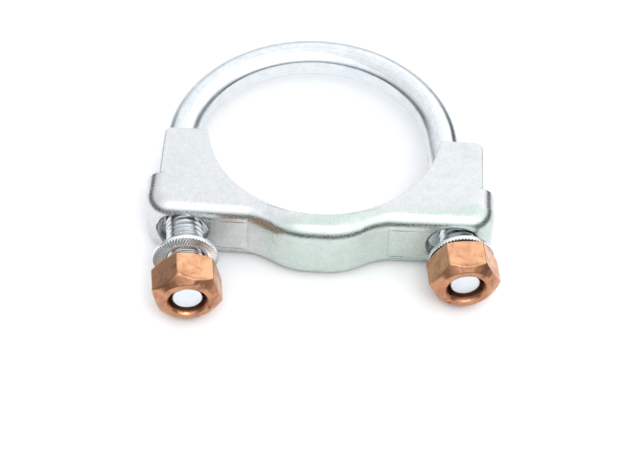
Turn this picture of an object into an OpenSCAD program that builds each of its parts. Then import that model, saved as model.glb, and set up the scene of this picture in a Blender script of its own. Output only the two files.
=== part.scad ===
// U-bolt pipe clamp for a 65 mm exhaust pipe, lying flat with the pipe axis along Z.
// Origin: centre of the U-bolt's bend, at half the rod's height. Legs run along -Y.
// The saddle is drawn where it rests, skewed on the legs, and the nuts are drawn backed off.

/* [U-bolt] */
// Radius of the flat inner face that grips the pipe
pipe_r = 32.5; // [32.2:0.1:33]
// Distance between the two leg axes
leg_spacing = 74; // [73.6:0.1:74.4]
// Rod diameter, which is also the thread's major diameter
rod_d = 10; // [9.6:0.1:10]
// Bend centre to the end of each leg
leg_end = 51.1; // [50.9:0.1:56]
// Length of each leg's flat run-out below the bend
flat_run_out = 6; // [3:1:12]
// Chamfer at each leg's end, along the leg
end_chamfer = 1; // [0.6:0.1:1.2]
// Radius of each leg's end face
end_face_r = 4.15; // [3.8:0.05:4.4]

/* [Saddle] */
// Height of the pressed channel, across both side plates
saddle_w = 20; // [19.8:0.2:22]
// Sheet thickness
sheet_t = 3; // [2.6:0.1:3]
// Outer radius of the fold between web and side plates
fold_r = 5; // [4.4:0.2:5.4]
// Half of the saddle's overall length
half_length = 47.5; // [47.2:0.1:49]
// Outside radius of the web's end corners
corner_r = 7; // [6:0.5:7.5]
// Pipe axis to the flat outer faces of the web, when clamped
web_y = 33; // [32.8:0.1:33]
// How far the middle of the web bulges outward
bulge = 5.9; // [5.7:0.1:6.1]
// Half length of the bulge's flat middle
bulge_flat = 3.5; // [3:0.5:4]
// Slope of the web beside the bulge, in degrees
ramp_angle = 38; // [37:0.5:39]
// Half distance between the crease lines beside the bulge
crease_x = 19; // [18.5:0.5:19.5]
// Outer edge of the wing plates
wing_x = 44.1; // [43:0.1:45]
// Pipe axis to the wing tips
wing_tip_y = 3.4; // [2:0.2:6]
// Pipe axis to the top of the end walls
shoulder_y = 20.3; // [18:0.1:22]
// Corner radius of the right wing tips
wing_corner_r = 2.5; // [1:0.5:4]
// Corner chamfer of the left wing tips
wing_chamfer = 1.2; // [0.6:0.2:2]
// Length of each slotted hole, across the leg
slot_l = 14.5; // [14.2:0.1:15]
// Height of each slotted hole
slot_h = 11; // [10.6:0.1:11.4]
// Radius of each hole's conical seat at the web's face
seat_r = 7.9; // [7.5:0.1:8.4]
// Depth of the conical seat
seat_depth = 1.2; // [0.8:0.1:1.4]
// Widening of the conical seat for each millimetre of depth
seat_slant = 1.25; // [1:0.05:1.4]
// Width of the crease line pressed beside the bulge
crease_w = 0.3; // [0.2:0.1:0.5]
// Depth of the crease line
crease_depth = 0.15; // [0.1:0.05:0.2]
// Skew of the saddle on the legs at rest, in degrees
skew = 7.5; // [7:0.1:7.5]
// Pipe axis to the point the saddle swings about
swing_y = 25.6; // [25:0.1:26]

/* [Washers] */
// Radius of the toothed rim
washer_r = 8.85; // [8.4:0.05:9]
// Radius of the small end, toward the saddle
washer_back_r = 6.8; // [6.4:0.1:7]
// Radius of the hole
washer_bore_r = 5.3; // [5.2:0.05:5.5]
// Overall height
washer_h = 3.25; // [3:0.05:3.3]
// Depth of the dished toothed face
washer_dish = 0.3; // [0.1:0.05:0.4]
// Height of the straight rim
washer_rim = 1.5; // [0.5:0.1:2]
// Pipe axis to the right washer's toothed face
right_washer_y = 42.85; // [42.8:0.05:43]
// Pipe axis to the left washer's toothed face
left_washer_y = 37.95; // [37.8:0.05:38.2]

/* [Nuts] */
// Width across flats
nut_af = 17; // [16.5:0.1:17]
// Height
nut_h = 10; // [9.6:0.1:10.4]
// Radial clearance between the nut's bore and the thread
thread_gap = 0.05; // [0.05:0.01:0.1]
// Radius of the flat ring on the chamfered outer end
nut_face_r = 7.2; // [7:0.1:7.8]
// Height of the outer chamfer for each millimetre of its radius
chamfer_slope = 0.9; // [0.6:0.05:1]
// Inner end's face radius
nut_seat_r = 8.3; // [8:0.1:8.4]
// Height of the inner chamfer for each millimetre of its radius
seat_slope = 0.5; // [0.4:0.05:0.7]
// Radius of the bore's countersink
countersink_r = 5.5; // [5.3:0.1:6]
// Depth of the countersink
countersink_h = 0.6; // [0.4:0.1:1]
// Pipe axis to the left nut's outer end
left_nut_y = 52.4; // [52:0.1:53]
// Gap between the right nut and its washer
nut_gap = 0.05; // [0.05:0.05:0.5]
// Angle of the left nut's upper corner, in degrees
left_nut_turn = 102.9; // [90:0.1:110]
// Angle of the right nut's upper corner, in degrees
right_nut_turn = 118.6; // [95:0.1:125]

/* [Hidden] */
$fn = 96;
over = 1;
leg_x = leg_spacing / 2;
rod_r = rod_d / 2;
half_w = saddle_w / 2;
inner_fold_r = fold_r - sheet_t;
flange_lap = 3;
flange = fold_r + flange_lap;
corner_gap = 0.5;
corner_flange = corner_r - corner_gap;
ramp_run = crease_x - bulge_flat;
ramp_l = bulge / tan(ramp_angle / 2) - ramp_run;
ramp_r = (ramp_run - ramp_l * cos(ramp_angle)) / (2 * sin(ramp_angle));
seat_taper = seat_depth * seat_slant;
seat_out = over * seat_slant;
nut_corner_r = nut_af / sqrt(3);
right_nut_y = right_washer_y + nut_gap + nut_h;
steel = [0.80, 0.83, 0.86];
copper = [0.74, 0.40, 0.22];

module rod_section() {
    // round rod with the pipe side pressed flat
    intersection() {
        translate([leg_x, 0]) circle(r = rod_r);
        translate([pipe_r, -rod_d]) square(2 * rod_d);
    }
}

module leg() {
    translate([0, -flat_run_out, 0]) rotate([-90, 0, 0]) linear_extrude(flat_run_out) rod_section();
    round_l = leg_end - flat_run_out - end_chamfer;
    translate([leg_x, -flat_run_out, 0]) rotate([90, 0, 0]) {
        cylinder(r = rod_r, h = round_l);
        translate([0, 0, round_l]) cylinder(r1 = rod_r, r2 = end_face_r, h = end_chamfer);
    }
}

module u_bolt() color(steel) {
    rotate_extrude(angle = 180) rod_section();
    leg();
    mirror([1, 0, 0]) leg();
}

module rounded_block(depth, half, r) {
    // from x = 0 to depth, with both corners at x = 0 rounded
    intersection() {
        translate([0, -half]) square([depth, 2 * half]);
        union() {
            translate([r, -half]) square([depth, 2 * half]);
            translate([0, r - half]) square([depth, 2 * (half - r)]);
            for (side = [-1, 1]) translate([r, side * (half - r)]) circle(r = r);
        }
    }
}

module channel_section(depth) {
    // x runs inward from the web's outer face, y across the channel
    difference() {
        rounded_block(depth, half_w, fold_r);
        translate([sheet_t, 0]) rounded_block(depth, half_w - sheet_t, inner_fold_r);
    }
}

module straight(from, length) {
    translate(from) rotate([90, 0, 90]) linear_extrude(length) channel_section(flange);
}

module bend(centre, from, angle, r, depth) {
    // bend whose inside faces the pipe; from is measured from +X
    translate(centre) rotate([0, 0, from]) rotate_extrude(angle = angle)
        translate([r, 0]) mirror([1, 0]) channel_section(depth);
}

module half_web() {
    // middle of the bulge, out to the end wall, on the +X side
    middle_y = -web_y - bulge;
    end_x = half_length - corner_r;
    straight([0, middle_y, 0], bulge_flat);
    bend([bulge_flat, middle_y + ramp_r, 0], -90, ramp_angle, ramp_r, flange);
    translate([bulge_flat + ramp_r * sin(ramp_angle), middle_y + ramp_r * (1 - cos(ramp_angle)), 0])
        rotate([0, 0, ramp_angle]) straight([0, 0, 0], ramp_l);
    translate([crease_x, -web_y - ramp_r, 0]) rotate([0, 0, 90])
        rotate_extrude(angle = ramp_angle) translate([ramp_r, 0]) channel_section(flange);
    straight([crease_x, -web_y, 0], end_x - crease_x);
    bend([end_x, corner_r - web_y, 0], -90, 90, corner_r, corner_flange);
    translate([half_length, corner_r - web_y, 0]) rotate([90, 0, 180])
        linear_extrude(web_y - corner_r - shoulder_y) channel_section(corner_flange);
}

module half_plate() {
    fold_x = half_length - fold_r;
    fold_y = fold_r - web_y;
    polygon([
        [0, fold_y - bulge], [bulge_flat, fold_y - bulge], [crease_x, fold_y],
        [half_length - corner_r, fold_y], [fold_x, corner_r - web_y], [fold_x, -shoulder_y],
        [wing_x, -shoulder_y], [wing_x, -wing_tip_y], [0, -wing_tip_y]
    ]);
}

module plate() {
    difference() {
        union() {
            half_plate();
            mirror([1, 0]) half_plate();
        }
        translate([wing_x - wing_corner_r, -wing_tip_y - wing_corner_r]) difference() {
            square(2 * wing_corner_r);
            circle(r = wing_corner_r);
        }
        translate([-wing_x, -wing_tip_y]) rotate(45) square(wing_chamfer * sqrt(2), center = true);
    }
}

module slot() {
    // through the web, along Y
    slot_r = slot_h / 2;
    side = slot_l / 2 - slot_r;
    rotate([90, 0, 0]) {
        for (x = [-side, side]) translate([x, 0, 0]) cylinder(r = slot_r, h = fold_r + over);
        translate([-side, -slot_r, 0]) cube([2 * side, slot_h, fold_r + over]);
        translate([0, 0, fold_r - seat_depth])
            cylinder(r1 = seat_r - seat_taper, r2 = seat_r + seat_out, h = seat_depth + over);
    }
}

module clamped_saddle() {
    difference() {
        union() {
            half_web();
            mirror([1, 0, 0]) half_web();
            for (z = [-half_w, half_w - sheet_t]) translate([0, 0, z]) linear_extrude(sheet_t) plate();
        }
        cylinder(r = pipe_r, h = saddle_w + 2 * over, center = true);
        for (x = [-leg_x, leg_x]) translate([x, fold_r - web_y, 0]) slot();
        for (x = [-crease_x, crease_x]) translate([x, -web_y, 0])
            cube([crease_w, 2 * crease_depth, saddle_w - 2 * fold_r + 2 * over], center = true);
    }
}

module saddle() color(steel) {
    translate([0, -swing_y, 0]) rotate([0, 0, -skew]) translate([0, swing_y, 0]) clamped_saddle();
}

module washer() {
    // z runs from the small end to the toothed face
    rotate_extrude() polygon([
        [washer_bore_r, 0], [washer_back_r, 0], [washer_r, washer_h - washer_rim],
        [washer_r, washer_h], [washer_bore_r, washer_h - washer_dish]
    ]);
}

module left_washer() color(steel) {
    translate([-leg_x, washer_h - left_washer_y, 0]) rotate([90, 0, 0]) washer();
}

module right_washer() color(steel) {
    translate([leg_x, washer_h - right_washer_y, 0]) rotate([90, 0, 0]) washer();
}

module nut(turn) {
    // z runs from the inner end to the chamfered outer end
    bore_r = rod_r + thread_gap;
    turned_r = nut_corner_r + over;
    chamfer_h = (turned_r - nut_face_r) * chamfer_slope;
    seat_h = (turned_r - nut_seat_r) * seat_slope;
    difference() {
        intersection() {
            rotate(turn) cylinder(r = nut_corner_r, h = nut_h, $fn = 6);
            rotate_extrude() polygon([
                [0, 0], [nut_seat_r, 0], [turned_r, seat_h], [turned_r, nut_h - chamfer_h],
                [nut_face_r, nut_h], [0, nut_h]
            ]);
        }
        translate([0, 0, -over]) cylinder(r = bore_r, h = nut_h + 2 * over);
        translate([0, 0, nut_h - countersink_h])
            cylinder(r1 = bore_r, r2 = countersink_r, h = countersink_h);
    }
}

module left_nut() color(copper) {
    translate([-leg_x, nut_h - left_nut_y, 0]) rotate([90, 0, 0]) nut(left_nut_turn);
}

module right_nut() color(copper) {
    translate([leg_x, nut_h - right_nut_y, 0]) rotate([90, 0, 0]) nut(right_nut_turn);
}

u_bolt();
saddle();
left_washer();
right_washer();
left_nut();
right_nut();
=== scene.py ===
"""Looks for a U-bolt pipe clamp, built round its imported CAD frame.

Lengths are in metres. +Z runs along the pipe's axis, the legs of the U-bolt run along -Y, and the
clamp lies flat on a pale floor.
"""

import logging
import math
from dataclasses import dataclass, field
from enum import Enum

import bmesh
import bpy
from mathutils import Matrix, Vector, noise


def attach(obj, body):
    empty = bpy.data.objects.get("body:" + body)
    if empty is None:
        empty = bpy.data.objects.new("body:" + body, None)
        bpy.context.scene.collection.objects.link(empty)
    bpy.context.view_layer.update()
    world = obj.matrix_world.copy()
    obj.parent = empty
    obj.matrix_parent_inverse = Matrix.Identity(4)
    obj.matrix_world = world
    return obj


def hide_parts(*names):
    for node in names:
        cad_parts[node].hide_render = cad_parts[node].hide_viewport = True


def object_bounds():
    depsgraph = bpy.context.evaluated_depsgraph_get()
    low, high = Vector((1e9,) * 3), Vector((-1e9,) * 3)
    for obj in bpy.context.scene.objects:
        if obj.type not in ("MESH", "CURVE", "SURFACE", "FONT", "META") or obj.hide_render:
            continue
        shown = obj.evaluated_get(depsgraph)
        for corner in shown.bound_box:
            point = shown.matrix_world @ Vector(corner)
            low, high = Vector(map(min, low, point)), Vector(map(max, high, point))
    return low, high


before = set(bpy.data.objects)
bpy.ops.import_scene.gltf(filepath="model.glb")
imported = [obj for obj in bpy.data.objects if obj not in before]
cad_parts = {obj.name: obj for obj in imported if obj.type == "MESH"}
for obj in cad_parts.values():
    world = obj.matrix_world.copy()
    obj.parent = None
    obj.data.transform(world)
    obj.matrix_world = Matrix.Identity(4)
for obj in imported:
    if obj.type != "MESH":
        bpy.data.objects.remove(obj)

CAD_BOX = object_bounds()
MM = 0.001
log = logging.getLogger("pipe_clamp")


# ---------------------------------------------------------------- helpers


def linear(hex_code: str) -> tuple[float, float, float, float]:
    """Turn an sRGB colour into the linear one that a shader takes.

    Args:
        hex_code: six hex digits, such as "C8CDD2".

    Returns:
        Linear red, green, blue and an alpha of 1.
    """
    parts = [int(hex_code[i : i + 2], 16) / 255 for i in (0, 2, 4)]
    red, green, blue = (p / 12.92 if p <= 0.04045 else ((p + 0.055) / 1.055) ** 2.4 for p in parts)
    return red, green, blue, 1.0


def add(
    tree: bpy.types.NodeTree, kind: str, inputs: dict | None = None, **settings: object
) -> bpy.types.Node:
    """Add a node with its settings and its inputs.

    Args:
        tree: the node tree to add to.
        kind: the node's type name.
        inputs: value or linked socket for each named or numbered input.
        **settings: the node's own properties.

    Returns:
        The new node.
    """
    node = tree.nodes.new(kind)
    for name, value in settings.items():
        setattr(node, name, value)
    for name, value in (inputs or {}).items():
        if isinstance(value, bpy.types.NodeSocket):
            tree.links.new(value, node.inputs[name])
        else:
            node.inputs[name].default_value = value
    return node


def blank_material(name: str) -> tuple[bpy.types.Material, bpy.types.NodeTree]:
    """Start a node material with nothing in it.

    Args:
        name: the material's name.

    Returns:
        The material and its node tree.
    """
    material = bpy.data.materials.new(name)
    material.use_nodes = True
    material.node_tree.nodes.clear()
    return material, material.node_tree


def painted_crevice_shade(
    tree: bpy.types.NodeTree, colour: bpy.types.NodeSocket, reach: float, left: float
) -> bpy.types.NodeSocket:
    """Paint shade into a plating's colour in its crevices, darkest where ambient occlusion finds walls close
    by.

    Args:
        tree: the material's tree.
        colour: the colour before the painted shade.
        reach: how far away a wall still makes a crevice.
        left: how much of the colour is left in the deepest crevice.

    Returns:
        The darkened colour.
    """
    # painted shade: ambient occlusion darkens the colour where walls are near
    openness = add(tree, "ShaderNodeAmbientOcclusion", {"Distance": reach}, samples=8).outputs["AO"]
    shade = add(tree, "ShaderNodeMapRange", {
        0: openness, 1: 0.2, 2: 0.75, 3: left, 4: 1.0,
    }).outputs[0]
    return add(tree, "ShaderNodeMix", {
        0: 1.0, 6: colour, 7: shade,
    }, data_type="RGBA", blend_type="MULTIPLY").outputs[2]


def soft_min(a: float, b: float, blend: float) -> float:
    """Give the smaller of two lengths, rounded where they meet.

    Args:
        a: one length.
        b: the other length.
        blend: how wide the rounding is.

    Returns:
        The rounded smaller length.
    """
    near = max(blend - abs(a - b), 0.0) / blend
    return min(a, b) - near * near * blend / 4


def finish_mesh(
    bm: bmesh.types.BMesh, name: str, materials: list[bpy.types.Material], sharp: float = 30.0
) -> bpy.types.Object:
    """Turn a bmesh into an object at the origin, smooth apart from its sharp edges.

    Args:
        bm: the finished shape, which is freed.
        name: the object's name.
        materials: one material per slot.
        sharp: edges bent by more than this many degrees stay sharp.

    Returns:
        The new object, linked to the scene.
    """
    for face in bm.faces:
        face.smooth = True
    for edge in bm.edges:
        edge.smooth = len(edge.link_faces) == 2 and edge.calc_face_angle(0.0) < math.radians(sharp)
    mesh = bpy.data.meshes.new(name)
    bm.to_mesh(mesh)
    bm.free()
    for material in materials:
        mesh.materials.append(material)
    piece = bpy.data.objects.new(name, mesh)
    bpy.context.scene.collection.objects.link(piece)
    return piece


def soften_edges(piece: bpy.types.Object, width: float, segments: int, limit: float) -> None:
    """Round a piece's sharp edges a little, as plating and tumbling leave them.

    Args:
        piece: the object.
        width: the rounding's width.
        segments: steps across the rounding.
        limit: edges bent by more than this many degrees are rounded.
    """
    bevel = piece.modifiers.new("edge_rounding", "BEVEL")
    bevel.width = width
    bevel.segments = segments
    bevel.limit_method = "ANGLE"
    bevel.angle_limit = math.radians(limit)
    bevel.harden_normals = False
    bevel.use_clamp_overlap = True


def chain(bm: bmesh.types.BMesh, points: list[tuple[float, float, int]]) -> list:
    """Draw a closed profile as a ring of edges in the XY plane, each cut into equal steps.

    Args:
        bm: the bmesh to draw in.
        points: radius, height and the number of cuts in the edge that follows.

    Returns:
        The ring's vertices and edges.
    """
    cuts_left = bm.edges.layers.int.new("cuts")
    verts = [bm.verts.new((radius, height, 0.0)) for radius, height, _ in points]
    for first, second, (_, _, cuts) in zip(verts, verts[1:] + verts[:1], points):
        bm.edges.new((first, second))[cuts_left] = cuts
    for cuts in sorted({point[2] for point in points} - {0}):
        # the cut edges keep their number, so each number is handled once
        bmesh.ops.subdivide_edges(bm, edges=[e for e in bm.edges if e[cuts_left] == cuts], cuts=cuts)
    return list(bm.verts) + list(bm.edges)


def lathe(points: list[tuple[float, float, int]], steps: int) -> bmesh.types.BMesh:
    """Turn a closed profile round the Y axis.

    Args:
        points: radius, height along Y and cuts for each corner of the profile.
        steps: how many steps make the full turn.

    Returns:
        The turned shape, closed, with its faces pointing out.
    """
    bm = bmesh.new()
    bmesh.ops.spin(
        bm, geom=chain(bm, points), cent=(0, 0, 0), axis=(0, 1, 0), dvec=(0, 0, 0),
        angle=math.tau, steps=steps, use_merge=True, use_duplicate=False,
    )
    bmesh.ops.remove_doubles(bm, verts=bm.verts, dist=1e-7)
    bmesh.ops.recalc_face_normals(bm, faces=bm.faces)
    return bm


# ---------------------------------------------------------------- finishes


class Grain(Enum):
    """How the steel was worked before it was plated."""

    DRAWN = "drawn"
    ROLLED = "rolled"
    STAMPED = "stamped"


@dataclass(frozen=True)
class BrightZinc:
    """Bright zinc electroplate over worked steel, passivated in a dip.

    It gives the eye a cool silver with faint blue and green clouds. Its reflections are streaked along a
    drawn rod and finely grained on rolled or stamped sheet, and its colour is darkened with painted shade in
    crevices and in the valleys of pressed teeth.
    """

    name: str
    grain: Grain
    light: str = "D3D7DB"
    film: str = "AFBDC3"
    low_roughness: float = 0.2
    high_roughness: float = 0.38
    speckle_mm: float = 0.35
    cloud_mm: float = 9.0
    relief_mm: float = 0.01
    contrast: float = 0.08
    film_below_mm: float = -500.0

    def drawn_coordinates(
        self, tree: bpy.types.NodeTree, place: bpy.types.NodeSocket
    ) -> bpy.types.NodeSocket:
        """Unroll the rod, so that a pattern can run along it.

        Args:
            tree: the material's tree.
            place: object coordinates.

        Returns:
            Radius from the bend's centre and height, with the rod's length pressed to almost nothing.
        """
        axes = add(tree, "ShaderNodeSeparateXYZ", {0: place}).outputs
        past_bend = add(tree, "ShaderNodeMath", {0: axes["Y"], 1: 0.0}, operation="MAXIMUM").outputs[0]
        flat = add(tree, "ShaderNodeCombineXYZ", {"X": axes["X"], "Y": past_bend}).outputs[0]
        radius = add(tree, "ShaderNodeVectorMath", {0: flat}, operation="LENGTH").outputs["Value"]
        along = add(tree, "ShaderNodeMath", {0: axes["Y"], 1: 0.02}, operation="MULTIPLY").outputs[0]
        return add(tree, "ShaderNodeCombineXYZ", {"X": radius, "Y": along, "Z": axes["Z"]}).outputs[0]

    def build(self) -> bpy.types.Material:
        """Make the material.

        Returns:
            The node material.
        """
        material, tree = blank_material(self.name)
        place = add(tree, "ShaderNodeTexCoord").outputs["Object"]
        # object coordinates are metres, so a pattern's scale is one over its size
        fine_place = self.drawn_coordinates(tree, place) if self.grain is Grain.DRAWN else place
        fine = add(tree, "ShaderNodeTexNoise", {
            "Vector": fine_place, "Scale": 1 / (self.speckle_mm * MM), "Detail": 4.0, "Roughness": 0.6,
        }).outputs["Fac"]
        cloud = add(tree, "ShaderNodeTexNoise", {
            "Vector": place, "Scale": 1 / (self.cloud_mm * MM), "Detail": 3.0, "Roughness": 0.55,
        }).outputs["Fac"]
        height_y = add(tree, "ShaderNodeSeparateXYZ", {0: place}).outputs["Y"]
        deeper = add(tree, "ShaderNodeMapRange", {
            0: height_y, 1: self.film_below_mm * MM, 2: (self.film_below_mm - 5) * MM, 3: 0.0, 4: 0.4,
        }).outputs[0]
        clouded = add(tree, "ShaderNodeMath", {0: cloud, 1: deeper}, operation="ADD").outputs[0]
        film = add(tree, "ShaderNodeMapRange", {0: clouded, 1: 0.5, 2: 0.85, 3: 0.0, 4: 1.0}).outputs[0]
        tint = add(tree, "ShaderNodeMix", {
            0: film, 6: linear(self.light), 7: linear(self.film),
        }, data_type="RGBA").outputs[2]
        mottle = add(tree, "ShaderNodeTexNoise", {
            "Vector": place, "Scale": 1 / (2.0 * MM), "Detail": 5.0, "Roughness": 0.7, "Distortion": 0.4,
        }).outputs["Fac"]
        streaks = add(tree, "ShaderNodeMath", {0: fine, 1: mottle}, operation="ADD").outputs[0]
        shade = add(tree, "ShaderNodeMapRange", {
            0: streaks, 1: 0.7, 2: 1.25, 3: 1 - self.contrast, 4: 1.0,
        }).outputs[0]
        # painted shade: the valleys of a washer's pressed teeth are darkened through a vertex attribute, and
        # pieces without the attribute get none
        valley_shade = add(tree, "ShaderNodeAttribute", attribute_name="valley_shade").outputs["Fac"]
        valley_shaded = add(tree, "ShaderNodeMath", {
            0: valley_shade, 1: -0.45, 2: shade,
        }, operation="MULTIPLY_ADD").outputs[0]
        shaded_tint = add(tree, "ShaderNodeMix", {
            0: 1.0, 6: tint, 7: valley_shaded,
        }, data_type="RGBA", blend_type="MULTIPLY").outputs[2]
        # painted shade in crevices
        colour = painted_crevice_shade(tree, shaded_tint, 2.5 * MM, 0.6)
        worn = add(tree, "ShaderNodeMapRange", {
            0: fine, 1: 0.3, 2: 0.75, 3: self.low_roughness, 4: self.high_roughness,
        }).outputs[0]
        bump = add(tree, "ShaderNodeBump", {
            "Height": fine, "Strength": 0.6, "Distance": self.relief_mm * MM,
        }).outputs[0]
        shader = add(tree, "ShaderNodeBsdfPrincipled", {
            "Base Color": colour, "Metallic": 1.0, "Roughness": worn, "Normal": bump,
        })
        add(tree, "ShaderNodeOutputMaterial", {"Surface": shader.outputs[0]})
        return material


@dataclass(frozen=True)
class CopperPlate:
    """Copper plate over turned steel nuts, tumbled and then crimped at one end.

    It gives the eye a warm orange with brown blotches, fine rings round the bore from turning, and
    a duller, darker end where the crimping tool gripped it.
    """

    name: str
    axis_x: float
    end_y: float
    fresh: str = "E3AE86"
    dull: str = "CB936F"
    stain: str = "7A4A36"
    bore: str = "B98363"
    gripped: str = "DBD4D6"
    bore_mm: float = 5.08
    low_roughness: float = 0.26
    high_roughness: float = 0.45

    def build(self) -> bpy.types.Material:
        """Make the material.

        Returns:
            The node material.
        """
        material, tree = blank_material(self.name)
        place = add(tree, "ShaderNodeTexCoord").outputs["Object"]
        centred = add(tree, "ShaderNodeVectorMath", {
            0: place, 1: (self.axis_x, 0.0, 0.0),
        }, operation="SUBTRACT").outputs[0]
        # tool marks circle the bore, about 0.25 mm apart
        across = add(tree, "ShaderNodeVectorMath", {
            0: centred, 1: (1.0, 0.0, 1.0),
        }, operation="MULTIPLY").outputs[0]
        radius = add(tree, "ShaderNodeVectorMath", {0: across}, operation="LENGTH").outputs["Value"]
        rings = add(tree, "ShaderNodeTexNoise", {
            "W": radius, "Scale": 1 / (0.25 * MM), "Detail": 3.0, "Roughness": 0.7,
        }, noise_dimensions="1D").outputs["Fac"]
        blotch = add(tree, "ShaderNodeTexNoise", {
            "Vector": place, "Scale": 1 / (3.0 * MM), "Detail": 5.0, "Roughness": 0.62, "Distortion": 0.6,
        }).outputs["Fac"]
        grit = add(tree, "ShaderNodeTexNoise", {
            "Vector": place, "Scale": 1 / (0.4 * MM), "Detail": 4.0, "Roughness": 0.65,
        }).outputs["Fac"]
        mixed = add(tree, "ShaderNodeMath", {
            0: grit, 1: 0.35, 2: blotch,
        }, operation="MULTIPLY_ADD").outputs[0]
        ramp = add(tree, "ShaderNodeValToRGB", {"Fac": mixed})
        stops = ramp.color_ramp.elements
        stops[0].position, stops[0].color = 0.42, linear(self.stain)
        stops[1].position, stops[1].color = 0.78, linear(self.fresh)
        middle = stops.new(0.55)
        middle.color = linear(self.dull)
        in_bore = add(tree, "ShaderNodeMapRange", {
            0: radius, 1: self.bore_mm * MM, 2: (self.bore_mm + 0.15) * MM, 3: 1.0, 4: 0.0,
        }).outputs[0]
        plated = add(tree, "ShaderNodeMix", {
            0: in_bore, 6: ramp.outputs["Color"], 7: linear(self.bore),
        }, data_type="RGBA").outputs[2]
        # the crimped, chamfered end was gripped by a tool, so its plating is duller
        depth = add(tree, "ShaderNodeSeparateXYZ", {0: place}).outputs["Y"]
        at_end = add(tree, "ShaderNodeMapRange", {
            0: depth, 1: 2.6 * MM - self.end_y, 2: 1.6 * MM - self.end_y, 3: 0.0, 4: 1.0,
        }).outputs[0]
        worn = add(tree, "ShaderNodeMix", {
            0: at_end, 6: plated, 7: linear(self.gripped),
        }, data_type="RGBA", blend_type="MULTIPLY").outputs[2]
        # painted shade in the nut's crevices
        colour = painted_crevice_shade(tree, worn, 2.0 * MM, 0.35)
        rough = add(tree, "ShaderNodeMapRange", {
            0: mixed, 1: 0.5, 2: 0.85, 3: self.high_roughness, 4: self.low_roughness,
        }).outputs[0]
        marks = add(tree, "ShaderNodeMath", {
            0: rings, 1: 0.6, 2: grit,
        }, operation="MULTIPLY_ADD").outputs[0]
        bump = add(tree, "ShaderNodeBump", {
            "Height": marks, "Strength": 0.5, "Distance": 0.015 * MM,
        }).outputs[0]
        shader = add(tree, "ShaderNodeBsdfPrincipled", {
            "Base Color": colour, "Metallic": 1.0, "Roughness": rough, "Normal": bump,
        })
        add(tree, "ShaderNodeOutputMaterial", {"Surface": shader.outputs[0]})
        return material


@dataclass(frozen=True)
class FlagFelt:
    """Grey felt on the flag, darker in front, which gives bright metal its dark lines."""

    name: str = "grey_felt"
    dark: str = "48484C"
    pale: str = "D8D8DA"

    def build(self) -> bpy.types.Material:
        """Make the material.

        Returns:
            The node material.
        """
        material, tree = blank_material(self.name)
        place = add(tree, "ShaderNodeTexCoord").outputs["Object"]
        nap = add(tree, "ShaderNodeTexNoise", {
            "Vector": place, "Scale": 1 / (0.8 * MM), "Detail": 4.0,
        }).outputs["Fac"]
        bump = add(tree, "ShaderNodeBump", {
            "Height": nap, "Strength": 0.5, "Distance": 0.3 * MM,
        }).outputs[0]
        depth = add(tree, "ShaderNodeSeparateXYZ", {0: place}).outputs["Y"]
        back = add(tree, "ShaderNodeMapRange", {0: depth, 1: 0.09, 2: 0.13, 3: 0.0, 4: 1.0}).outputs[0]
        felt = add(tree, "ShaderNodeMix", {
            0: back, 6: linear(self.dark), 7: linear(self.pale),
        }, data_type="RGBA").outputs[2]
        shader = add(tree, "ShaderNodeBsdfPrincipled", {
            "Base Color": felt, "Roughness": 0.95, "Normal": bump, "Specular IOR Level": 0.1,
        })
        add(tree, "ShaderNodeOutputMaterial", {"Surface": shader.outputs[0]})
        return material


@dataclass(frozen=True)
class StudioFloor:
    """Matt white card, lit until it is almost paper white."""

    name: str = "matt_white_card"
    colour: str = "FAFAFA"

    def build(self) -> bpy.types.Material:
        """Make the material.

        Returns:
            The node material.
        """
        material, tree = blank_material(self.name)
        place = add(tree, "ShaderNodeTexCoord").outputs["Object"]
        fibre = add(tree, "ShaderNodeTexNoise", {
            "Vector": place, "Scale": 1 / (1.5 * MM), "Detail": 3.0,
        }).outputs["Fac"]
        bump = add(tree, "ShaderNodeBump", {
            "Height": fibre, "Strength": 0.2, "Distance": 0.02 * MM,
        }).outputs[0]
        shader = add(tree, "ShaderNodeBsdfPrincipled", {
            "Base Color": linear(self.colour), "Roughness": 0.85, "Normal": bump, "Specular IOR Level": 0.2,
        })
        add(tree, "ShaderNodeOutputMaterial", {"Surface": shader.outputs[0]})
        return material


# ---------------------------------------------------------------- pieces


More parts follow.
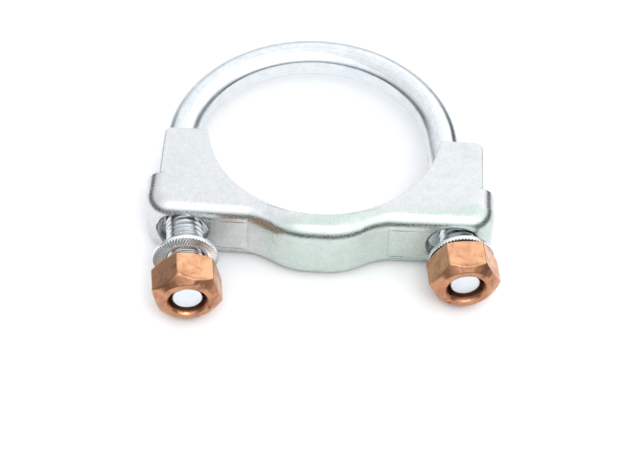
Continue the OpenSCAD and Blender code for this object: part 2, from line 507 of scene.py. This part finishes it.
@dataclass
class UBolt:
    """Bent rod, pressed flat on the pipe side of its bend, with a rolled thread on each leg."""

    leg_x: float = 37.0 * MM
    rod_r: float = 5.0 * MM
    pipe_r: float = 32.5 * MM
    flat_end: float = 6.0 * MM
    round_from: float = 9.0 * MM
    thread_from: float = 24.0 * MM
    leg_end: float = 51.1 * MM
    pitch: float = 1.5 * MM
    root_r: float = 4.15 * MM
    crest_r: float = 4.98 * MM
    runout: float = 1.0 * MM
    tip_h: float = 0.35 * MM
    tip_w: float = 0.3 * MM
    cap_inset: float = 0.9 * MM
    edge_round: float = 0.22 * MM
    ridge_base: float = 0.68 * MM
    ridge_crest: float = 0.11 * MM
    ridge_root: float = 0.06 * MM
    ridge_rise: float = 0.95
    thread_lead: float = 0.3 * MM
    round_steps: int = 72
    flat_cuts: int = 9
    bend_steps: int = 120
    thread_steps: int = 48
    rod_finish: BrightZinc = field(default_factory=lambda: BrightZinc(
        "bright_zinc_on_drawn_rod", Grain.DRAWN, light="E6EAEC", film="D6E0E6",
        low_roughness=0.16, high_roughness=0.3, speckle_mm=0.4, relief_mm=0.02, contrast=0.2))
    end_finish: BrightZinc = field(default_factory=lambda: BrightZinc(
        "bright_zinc_on_sheared_end", Grain.STAMPED, light="F0F6FA", film="E2EBF2",
        low_roughness=0.45, high_roughness=0.7, speckle_mm=0.5, relief_mm=0.03))

    def section(self, bm: bmesh.types.BMesh) -> list[bmesh.types.BMEdge]:
        """Draw the rod's section at the bend: a circle with a flat on the pipe side.

        Args:
            bm: the bmesh to draw in.

        Returns:
            The section's edges.
        """
        turn = Matrix.Translation((self.leg_x, 0, 0)) @ Matrix.Rotation(math.pi / 2, 4, "X")
        bmesh.ops.create_circle(bm, segments=self.round_steps, radius=self.rod_r, matrix=turn)
        bmesh.ops.bisect_plane(
            bm, geom=list(bm.verts) + list(bm.edges),
            plane_co=(self.pipe_r, 0, 0), plane_no=(-1, 0, 0), clear_outer=True,
        )
        ends = [v for v in bm.verts if len(v.link_edges) == 1]
        flat = bm.edges.new(ends)
        bmesh.ops.subdivide_edges(bm, edges=[flat], cuts=self.flat_cuts)
        return list(bm.edges)

    def extend(self, bm: bmesh.types.BMesh, edges: list, y: float, scale_to: float | None) -> list:
        """Lengthen a leg to a new height.

        Args:
            bm: the rod's bmesh.
            edges: the open loop at the leg's end.
            y: where the new loop lies along Y.
            scale_to: radius that the new loop is set to, or None to keep its outline.

        Returns:
            The new open loop.
        """
        new = bmesh.ops.extrude_edge_only(bm, edges=edges)["geom"]
        verts = [g for g in new if isinstance(g, bmesh.types.BMVert)]
        side = math.copysign(self.leg_x, verts[0].co.x)
        for vert in verts:
            vert.co.y = y
            if scale_to is not None:
                out = Vector((vert.co.x - side, 0.0, vert.co.z)).normalized() * scale_to
                vert.co.x, vert.co.z = side + out.x, out.z
        return [g for g in new if isinstance(g, bmesh.types.BMEdge)]

    def rod(self) -> bpy.types.Object:
        """Build the bent rod with its legs down to the thread's root.

        Returns:
            The rod.
        """
        bm = bmesh.new()
        loop = self.section(bm)
        bmesh.ops.spin(
            bm, geom=list(bm.verts) + loop, cent=(0, 0, 0), axis=(0, 0, 1), dvec=(0, 0, 0),
            angle=math.pi, steps=self.bend_steps, use_duplicate=False,
        )
        bmesh.ops.remove_doubles(bm, verts=bm.verts, dist=1e-8)
        tips = []
        for side in (1, -1):
            edges = [e for e in bm.edges if e.is_boundary and side * e.verts[0].co.x > 0]
            rows = [
                (self.flat_end, None), (self.round_from, self.rod_r),
                (self.thread_from - self.runout, self.rod_r), (self.thread_from, self.root_r),
                (self.leg_end - self.tip_h, self.root_r), (self.leg_end, self.root_r - self.tip_w),
            ]
            for y, radius in rows:
                edges = self.extend(bm, edges, -y, radius)
            tips.append(edges)
        for edges in tips:
            cap = bmesh.ops.contextual_create(bm, geom=edges)["faces"]
            bmesh.ops.inset_individual(bm, faces=cap, thickness=self.cap_inset, depth=0.0)
        bmesh.ops.recalc_face_normals(bm, faces=bm.faces)
        for face in bm.faces:
            if face.normal.y < -0.9 and face.calc_center_median().y < 0.5 * MM - self.leg_end:
                face.material_index = 1
        piece = finish_mesh(bm, "u_bolt_rod", [self.rod_finish.build(), self.end_finish.build()], 18.0)
        soften_edges(piece, self.edge_round, 3, 15.0)
        return piece

    def thread(self, side: int, material: bpy.types.Material) -> bpy.types.Object:
        """Roll the thread on one leg, as a right-handed ridge round the root.

        Args:
            side: 1 for the right leg, -1 for the left.
            material: the rod's finish.

        Returns:
            The thread's ridge.
        """
        steps = self.thread_steps
        start = self.thread_from - self.thread_lead
        turns = int((self.leg_end - start) / self.pitch) - 1
        base, crest = self.ridge_base, self.ridge_crest
        bm = bmesh.new()
        inner = self.root_r - self.ridge_root
        corners = [(inner, -base), (self.crest_r, -crest), (self.crest_r, crest), (inner, base)]
        verts = [bm.verts.new((side * self.leg_x + r, -start - self.pitch / 2 - h, 0)) for r, h in corners]
        face = bm.faces.new(verts)
        bmesh.ops.spin(
            bm, geom=[face, *face.edges, *verts], cent=(side * self.leg_x, 0, 0), axis=(0, -1, 0),
            dvec=(0, -self.pitch / steps, 0), angle=math.tau * turns, steps=steps * turns,
            use_duplicate=False,
        )
        bmesh.ops.remove_doubles(bm, verts=bm.verts, dist=1e-7)
        for vert in bm.verts:
            out = Vector((vert.co.x - side * self.leg_x, 0.0, vert.co.z))
            into = min(-vert.co.y - self.thread_from, self.leg_end - 0.1 * MM + vert.co.y)
            limit = max(inner, min(self.crest_r, inner + max(into, 0.0) * self.ridge_rise))
            if out.length > limit:
                out = out.normalized() * limit
                vert.co.x, vert.co.z = side * self.leg_x + out.x, out.z
            vert.co.y = max(vert.co.y, 0.05 * MM - self.leg_end)
        bmesh.ops.recalc_face_normals(bm, faces=bm.faces)
        return finish_mesh(bm, f"thread_{'right' if side > 0 else 'left'}", [material], 35.0)

    def build(self) -> None:
        """Build the rod and both threads, and put them on the U-bolt's body."""
        rod = self.rod()
        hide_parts("u_bolt")
        for piece in (rod, self.thread(1, rod.data.materials[0]), self.thread(-1, rod.data.materials[0])):
            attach(piece, "u_bolt")
            log.info("%s: %d faces", piece.name, len(piece.data.polygons))


@dataclass
class Saddle:
    """Pressed channel with two arced side plates, slotted holes and a bulged web."""

    edge_round: float = 0.55 * MM
    sharp: float = 32.0
    skew: float = 7.5
    swing_y: float = 25.6 * MM
    shoulder_y: float = 20.3 * MM
    arc_r: float = 32.5 * MM
    arc_share: float = 0.4
    web_y: float = 33.0 * MM
    bulge: float = 5.9 * MM
    bulge_flat: float = 3.5 * MM
    ramp_angle: float = 38.0
    crease_x: float = 19.0 * MM
    ease_start: float = 2.5 * MM
    ease_end: float = 22.5 * MM
    cut_step: float = 1.0 * MM
    band: float = 5.3 * MM
    arc_fade: float = 2.5 * MM
    weld: float = 0.001 * MM
    flat_angle: float = 0.3
    edge_steps: int = 4
    finish: BrightZinc = field(default_factory=lambda: BrightZinc(
        "bright_zinc_on_pressed_sheet", Grain.ROLLED, light="DADCDC", film="CBD6CF",
        low_roughness=0.22, high_roughness=0.4, speckle_mm=0.45, relief_mm=0.018,
        contrast=0.16, film_below_mm=-30.0))

    def unskewed(self) -> Matrix:
        """Give the turn that squares the saddle up on the legs.

        Returns:
            The matrix from the resting place to the squared-up one.
        """
        pivot = Vector((0.0, -self.swing_y, 0.0))
        turn = Matrix.Rotation(math.radians(self.skew), 4, "Z")
        return Matrix.Translation(pivot) @ turn @ Matrix.Translation(-pivot)

    def share(self, square: Vector) -> float:
        """Give the share of the rounding that a sheared edge gets.

        Args:
            square: the edge's middle on the squared-up saddle.

        Returns:
            1 on the wings, less on the arcs where the plate is narrow, and 0 on the folds and holes.
        """
        if abs(math.hypot(square.x, square.y) - self.arc_r) < 0.2 * MM:
            return self.arc_share
        return 1.0 if square.y > 0.5 * MM - self.shoulder_y else 0.0

    def drawn_web(self, x: float) -> float:
        """Give the web's outer face as the CAD has it, with short arcs beside the bulge.

        Args:
            x: distance from the middle.

        Returns:
            The face's place along Y on the squared-up saddle.
        """
        lean = math.radians(self.ramp_angle)
        run = self.crease_x - self.bulge_flat
        straight = self.bulge / math.tan(lean / 2) - run
        radius = (run - straight * math.cos(lean)) / (2 * math.sin(lean))
        out, back = x - self.bulge_flat, self.crease_x - x
        if out <= 0 or back <= 0:
            return -self.web_y - (self.bulge if out <= 0 else 0.0)
        if out <= radius * math.sin(lean):
            return -self.web_y - self.bulge + radius - math.sqrt(radius**2 - out**2)
        if back <= radius * math.sin(lean):
            return -self.web_y - radius + math.sqrt(radius**2 - back**2)
        rise = radius * (1 - math.cos(lean)) + (out - radius * math.sin(lean)) * math.tan(lean)
        return -self.web_y - self.bulge + rise

    def pressed_web(self, x: float) -> float:
        """Give the web's outer face as the press left it, with two wide arcs beside the bulge.

        Args:
            x: distance from the middle.

        Returns:
            The face's place along Y on the squared-up saddle.
        """
        run = self.ease_end - self.ease_start
        radius = (run**2 + self.bulge**2) / (4 * self.bulge)
        out = min(max(x - self.ease_start, 0.0), run)
        if out <= run / 2:
            return -self.web_y - self.bulge + radius - math.sqrt(radius**2 - out**2)
        return -self.web_y - radius + math.sqrt(radius**2 - (run - out) ** 2)

    def in_band(self, square: Vector) -> bool:
        """Tell whether a point belongs to the eased part of the web or to a fold beside it.

        Args:
            square: the point on the squared-up saddle.

        Returns:
            True where the point may be shifted.
        """
        x = abs(square.x)
        return x < self.ease_end + MM and square.y < self.drawn_web(x) + self.band

    def ease_bulge(self, bm: bmesh.types.BMesh) -> None:
        """Cut the web and its folds finely, and ease the bulge's sides into wide arcs.

        Args:
            bm: the saddle's mesh.
        """
        to_square = self.unskewed()
        back = to_square.inverted()
        along = back.to_3x3() @ Vector((1.0, 0.0, 0.0))
        for step in range(int(self.ease_end / self.cut_step) + 1):
            for side in (-1, 1):
                x = side * (self.ease_start + step * self.cut_step)
                band = [f for f in bm.faces if self.in_band(to_square @ f.calc_center_median())]
                near = {element for face in band for element in (*face.verts, *face.edges)}
                bmesh.ops.bisect_plane(
                    bm, geom=[*band, *near], dist=self.weld,
                    plane_co=back @ Vector((x, 0.0, 0.0)), plane_no=along,
                )
        turn_back = back.to_3x3()
        for vert in bm.verts:
            square = to_square @ vert.co
            if self.in_band(square):
                x = abs(square.x)
                # the arc's own edge stays, and the shift grows with the way from it
                part = min(1.0, max(0.0, (math.hypot(square.x, square.y) - self.arc_r) / self.arc_fade))
                shift = (self.pressed_web(x) - self.drawn_web(x)) * part
                vert.co += turn_back @ Vector((0.0, shift, 0.0))

    def mark_edges(self, bm: bmesh.types.BMesh) -> None:
        """Weight the sheared edges that the rounding is to follow.

        Args:
            bm: the saddle's mesh.
        """
        weight = bm.edges.layers.float.new("bevel_weight_edge")
        to_square = self.unskewed()
        for edge in bm.edges:
            if len(edge.link_faces) == 2 and edge.calc_face_angle(0.0) > math.radians(self.sharp):
                edge[weight] = self.share(to_square @ ((edge.verts[0].co + edge.verts[1].co) / 2))

    def build(self) -> None:
        """Round the edges of a copy of the CAD saddle, plate it and put it on its body."""
        bm = bmesh.new()
        bm.from_mesh(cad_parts["saddle"].data)
        bmesh.ops.remove_doubles(bm, verts=bm.verts, dist=2 * self.weld)
        # faces that the CAD cut out of one plane are joined again, so that they shade as one
        bmesh.ops.dissolve_limit(
            bm, angle_limit=math.radians(self.flat_angle), verts=bm.verts, edges=bm.edges,
            use_dissolve_boundaries=False,
        )
        for face in bm.faces:
            face.material_index = 0
        self.ease_bulge(bm)
        self.mark_edges(bm)
        piece = finish_mesh(bm, "pressed_saddle", [self.finish.build()], self.sharp)
        bevel = piece.modifiers.new("edge_rounding", "BEVEL")
        bevel.width = self.edge_round
        bevel.segments = self.edge_steps
        bevel.limit_method = "WEIGHT"
        bevel.use_clamp_overlap = False
        bevel.harden_normals = True
        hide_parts("saddle")
        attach(piece, "saddle")
        log.info("%s: %d faces", piece.name, len(piece.data.polygons))


@dataclass
class ConeWasher:
    """Conical washer with fine teeth pressed into the face that meets the nut."""

    side: int
    name: str
    face_y: float
    leg_x: float = 37.0 * MM
    rim_r: float = 8.85 * MM
    back_r: float = 6.8 * MM
    bore_r: float = 5.3 * MM
    height: float = 3.25 * MM
    rim_h: float = 1.5 * MM
    dish: float = 0.3 * MM
    teeth: int = 60
    tooth_depth: float = 0.4 * MM
    twist: float = 0.05
    plain_ring: float = 0.25 * MM
    tooth_run_in: float = 0.8 * MM
    unshaded_share: float = 0.45
    turn_steps: int = 480
    finish: BrightZinc = field(default_factory=lambda: BrightZinc(
        "bright_zinc_on_stamped_washer", Grain.STAMPED, light="F0F3F3", film="DDE6E6",
        low_roughness=0.3, high_roughness=0.45, speckle_mm=0.3, relief_mm=0.01))

    def press_teeth(self, bm: bmesh.types.BMesh) -> None:
        """Sink the valleys between the teeth into the face and over the rim, and store painted shade for
        them.

        Args:
            bm: the washer, turned round the Y axis, with its toothed face at the low end.
        """
        valley_shade = bm.verts.layers.float.new("valley_shade")
        for vert in bm.verts:
            radius = math.hypot(vert.co.x, vert.co.z)
            past_rim = radius - self.bore_r - self.plain_ring
            if vert.co.y >= -self.height + self.dish + 0.02 * MM or past_rim <= 0:
                continue
            angle = math.atan2(vert.co.z, vert.co.x) + self.twist * (radius - self.bore_r) / MM
            wave = abs((angle * self.teeth / math.tau) % 1.0 - 0.5) * 2
            fade = min(1.0, past_rim / self.tooth_run_in)
            vert.co.y += self.tooth_depth * wave * fade
            # painted shade for the tooth valleys, strongest at the bottom of each valley
            vert[valley_shade] = max(0.0, wave - self.unshaded_share) / (1 - self.unshaded_share) * fade

    def build(self) -> None:
        """Turn the washer, press its teeth, and put it on its body."""
        top = -self.height
        wide, tall = self.rim_r - self.back_r, self.height - self.rim_h
        # the cone is rounded where it runs into the rim, and stays inside the straight CAD cone
        bm = lathe([
            (self.bore_r, 0.0, 1), (self.back_r - 0.2 * MM, 0.0, 0), (self.back_r, -0.15 * MM, 3),
            (self.back_r + 0.5 * wide, -0.54 * tall, 1), (self.back_r + 0.8 * wide, -0.86 * tall, 0),
            (self.back_r + 0.94 * wide, -1.04 * tall, 0), (self.back_r + 0.985 * wide, -1.22 * tall, 0),
            (self.rim_r, top + 0.75 * self.rim_h, 2), (self.rim_r, top + 0.12 * MM, 0),
            (self.rim_r - 0.12 * MM, top, 14),
            (self.bore_r + 0.15 * MM, top + self.dish, 0), (self.bore_r, top + self.dish + 0.15 * MM, 3),
        ], self.turn_steps)
        self.press_teeth(bm)
        bmesh.ops.translate(bm, verts=bm.verts, vec=(self.side * self.leg_x, self.height - self.face_y, 0))
        piece = finish_mesh(bm, f"toothed_{self.name}", [self.finish.build()], 40.0)
        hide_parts(self.name)
        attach(piece, self.name)
        log.info("%s: %d faces", piece.name, len(piece.data.polygons))


@dataclass(frozen=True)
class Dent:
    """A mark that a tool left in a nut's outer end."""

    angle: float
    radius: float
    depth: float
    width: float


@dataclass
class HexNut:
    """Copper-plated hex nut, with a deep chamfer on its outer end."""

    side: int
    name: str
    turn: float
    end_y: float
    dents: tuple[Dent, ...]
    leg_x: float = 37.0 * MM
    apothem: float = 8.5 * MM
    height: float = 10.0 * MM
    bore_r: float = 5.05 * MM
    face_r: float = 7.2 * MM
    seat_r: float = 8.3 * MM
    sink_r: float = 5.5 * MM
    sink_h: float = 0.6 * MM
    chamfer_slope: float = 0.9
    seat_slope: float = 0.5
    rounding: float = 0.3 * MM
    wave_size: float = 2.2 * MM
    wave_depth: float = 0.035 * MM
    rough_size: float = 1.3 * MM
    rough_depth: float = 0.05 * MM
    turn_steps: int = 288

    def hex_radius(self, angle: float) -> float:
        """Give the distance from the axis to the six flats, with rounded corners.

        Args:
            angle: direction round the axis, in radians.

        Returns:
            The distance in metres.
        """
        third = math.tau / 6
        offset = (angle - math.radians(self.turn)) % third
        # the lower limit keeps flats on the far side out of the way
        facing, before, after = (
            self.apothem / max(math.cos(offset - step * third), 0.3) for step in (0.5, -0.5, 1.5)
        )
        return soft_min(soft_min(facing, before, self.rounding), after, self.rounding)

    def dress(self, bm: bmesh.types.BMesh) -> None:
        """Bring the turned blank in to its six flats and dent its outer end.

        Args:
            bm: the blank, turned round the Y axis, with its outer end at the low end.
        """
        for vert in bm.verts:
            radius = math.hypot(vert.co.x, vert.co.z)
            angle = math.atan2(vert.co.z, vert.co.x)
            if radius > self.bore_r + 0.5 * MM:
                # low waves, as tumbling leaves in soft plating
                wave = noise.noise(vert.co / self.wave_size + Vector((self.side * 9.0, 0, 0)))
                flat = soft_min(radius, self.hex_radius(angle), self.rounding)
                flat -= self.wave_depth * (1 + wave)
                vert.co.x, vert.co.z = flat * math.cos(angle), flat * math.sin(angle)
                radius = flat
            if vert.co.y > -self.height * 0.6:
                continue
            sunk = 0.0
            for dent in self.dents:
                toward = math.radians(dent.angle)
                here = Vector((radius * math.cos(angle), radius * math.sin(angle)))
                there = Vector((math.cos(toward), math.sin(toward))) * dent.radius
                sunk += dent.depth * math.exp(-((here - there).length / dent.width) ** 2)
            rough = noise.noise(Vector((vert.co.x, 0.0, vert.co.z)) / self.rough_size)
            vert.co.y += sunk + self.rough_depth * (1 + rough)

    def build(self) -> None:
        """Turn the blank, dress it, copper-plate it and put it on its body."""
        end = -self.height
        turned_r = self.apothem / math.cos(math.pi / 6) + 0.6 * MM
        chamfer = (turned_r - self.face_r) * self.chamfer_slope
        seat = (turned_r - self.seat_r) * self.seat_slope
        bm = lathe([
            (self.bore_r, 0.0, 0), (self.bore_r + 0.4 * MM, 0.0, 4), (self.seat_r, 0.0, 14),
            (turned_r, -seat, 12), (turned_r, end + chamfer, 30), (self.face_r, end + 0.08 * MM, 2),
            (self.face_r - 0.25 * MM, end, 8), (self.sink_r, end, 8), (self.bore_r, end + self.sink_h, 8),
        ], self.turn_steps)
        self.dress(bm)
        bmesh.ops.translate(bm, verts=bm.verts, vec=(self.side * self.leg_x, self.height - self.end_y, 0))
        bmesh.ops.recalc_face_normals(bm, faces=bm.faces)
        finish = CopperPlate(f"copper_plate_on_{self.name}", self.side * self.leg_x, self.end_y)
        piece = finish_mesh(bm, f"hex_{self.name}", [finish.build()], 50.0)
        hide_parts(self.name)
        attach(piece, self.name)
        log.info("%s: %d faces", piece.name, len(piece.data.polygons))


# ---------------------------------------------------------------- studio


@dataclass
class Studio:
    """Pale floor, soft light and the camera."""

    elevation: float = 50.2
    azimuth: float = -5.63
    roll: float = 1.55
    distance: float = 0.506
    target: tuple[float, float, float] = (-0.00174, -0.03233, 0.0)
    lens: float = 106.4
    floor_size: float = 3.0
    flag_r: float = 0.15
    flag_h: float = 0.055
    left_level: float = 1.05
    right_level: float = 1.6
    front_lift: float = 0.35
    low_share: float = 0.25

    def camera(self) -> None:
        """Place the camera at its viewing angle and make it the scene's own."""
        lift, swing, roll = (math.radians(a) for a in (self.elevation, self.azimuth, self.roll))
        back = Vector((math.sin(swing) * math.cos(lift), -math.cos(swing) * math.cos(lift), math.sin(lift)))
        right = Vector((math.cos(swing), math.sin(swing), 0.0))
        up = back.cross(right)
        right, up = (
            right * math.cos(roll) + up * math.sin(roll),
            up * math.cos(roll) - right * math.sin(roll),
        )
        data = bpy.data.cameras.new("camera")
        data.lens = self.lens
        data.sensor_width = 36.0
        data.clip_start = 0.01
        data.dof.use_dof = False
        camera = bpy.data.objects.new("camera", data)
        matrix = Matrix((right, up, back)).transposed().to_4x4()
        matrix.translation = Vector(self.target) + back * self.distance
        camera.matrix_world = matrix
        bpy.context.scene.collection.objects.link(camera)
        bpy.context.scene.camera = camera

    def floor(self) -> None:
        """Lay the floor under the lowest point of the clamp."""
        bm = bmesh.new()
        bmesh.ops.create_grid(bm, x_segments=8, y_segments=8, size=self.floor_size / 2)
        bmesh.ops.translate(bm, verts=bm.verts, vec=(0, 0, CAD_BOX[0][2]))
        finish_mesh(bm, "studio_floor", [StudioFloor().build()])

    def flag(self) -> None:
        """Stand a low grey band round the clamp, which only reflections see."""
        bm = bmesh.new()
        start = Vector((self.flag_r, 0.0, CAD_BOX[0][2] + 0.5 * MM))
        verts = [bm.verts.new(start), bm.verts.new(start + Vector((0.0, 0.0, self.flag_h)))]
        edge = bm.edges.new(verts)
        bmesh.ops.spin(
            bm, geom=[*verts, edge], cent=(0, 0, 0), axis=(0, 0, -1), dvec=(0, 0, 0),
            angle=math.tau, steps=120, use_merge=True, use_duplicate=False,
        )
        band = finish_mesh(bm, "grey_flag", [FlagFelt().build()])
        band.visible_camera = False
        band.visible_diffuse = False
        band.visible_shadow = False

    def soft_box(
        self, name: str, place: tuple[float, float, float], size: tuple[float, float], power: float
    ) -> None:
        """Hang one soft box, aimed at the clamp.

        Args:
            name: the light's name.
            place: where it hangs.
            size: its width and height.
            power: its power in watts.
        """
        data = bpy.data.lights.new(name, "AREA")
        data.shape = "RECTANGLE"
        data.size, data.size_y = size
        data.energy = power
        light = bpy.data.objects.new(name, data)
        light.location = place
        light.rotation_euler = (Vector(place) - Vector((0.0, -0.01, 0.0))).to_track_quat("Z", "Y").to_euler()
        bpy.context.scene.collection.objects.link(light)

    def surroundings(self) -> None:
        """Light the scene from a white room, brighter over the camera and toward the right."""
        world = bpy.data.worlds.new("studio_room")
        world.use_nodes = True
        tree = world.node_tree
        tree.nodes.clear()
        way = add(tree, "ShaderNodeTexCoord").outputs["Generated"]
        axes = add(tree, "ShaderNodeSeparateXYZ", {0: way}).outputs
        aside = add(tree, "ShaderNodeMapRange", {
            0: axes["X"], 1: -0.6, 2: 0.6, 3: self.left_level, 4: self.right_level,
        }).outputs[0]
        # the room is brighter on the side that faces the clamp's nuts
        front = add(tree, "ShaderNodeMapRange", {
            0: axes["Y"], 1: -0.3, 2: -0.45, 3: 0.0, 4: self.front_lift,
        }, interpolation_type="SMOOTHSTEP").outputs[0]
        level = add(tree, "ShaderNodeMath", {0: aside, 1: front}, operation="ADD").outputs[0]
        low = add(tree, "ShaderNodeMapRange", {
            0: axes["Z"], 1: 0.25, 2: 0.5, 3: self.low_share, 4: 1.0,
        }, interpolation_type="SMOOTHSTEP").outputs[0]
        back = add(tree, "ShaderNodeMapRange", {0: axes["Y"], 1: 0.3, 2: 0.7, 3: 0.0, 4: 1.0}).outputs[0]
        dim = add(tree, "ShaderNodeMath", {0: low, 1: back}, operation="MAXIMUM").outputs[0]
        total = add(tree, "ShaderNodeMath", {0: level, 1: dim}, operation="MULTIPLY").outputs[0]
        glow = add(tree, "ShaderNodeBackground", {"Color": linear("FAFCFF"), "Strength": total})
        add(tree, "ShaderNodeOutputWorld", {"Surface": glow.outputs[0]})
        bpy.context.scene.world = world

    def build(self) -> None:
        """Set the floor, the lights and the camera."""
        self.floor()
        self.flag()
        self.surroundings()
        self.soft_box("soft_box_over_camera", (0.05, -0.5, 0.75), (0.4, 0.25), 1.5)
        self.camera()
        bpy.context.scene.view_settings.view_transform = "Standard"
        log.info("studio set")


def main() -> None:
    """Build each sub-assembly in order, then the studio."""
    logging.basicConfig(level=logging.INFO, format="%(name)s: %(message)s")
    UBolt().build()
    Saddle().build()
    ConeWasher(-1, "left_washer", 37.95 * MM).build()
    ConeWasher(1, "right_washer", 42.85 * MM).build()
    HexNut(-1, "left_nut", 102.9, 52.4 * MM, (
        Dent(-25.0, 6.2 * MM, 0.6 * MM, 0.8 * MM), Dent(61.0, 7.0 * MM, 0.45 * MM, 1.0 * MM),
        Dent(158.0, 6.9 * MM, 0.35 * MM, 0.8 * MM), Dent(-122.0, 6.2 * MM, 0.35 * MM, 1.0 * MM),
    )).build()
    HexNut(1, "right_nut", 118.6, 52.9 * MM, (
        Dent(-160.0, 6.6 * MM, 0.2 * MM, 0.8 * MM), Dent(25.0, 6.8 * MM, 0.2 * MM, 0.8 * MM),
    )).build()
    Studio().build()


if __name__ == "__main__":
    main()
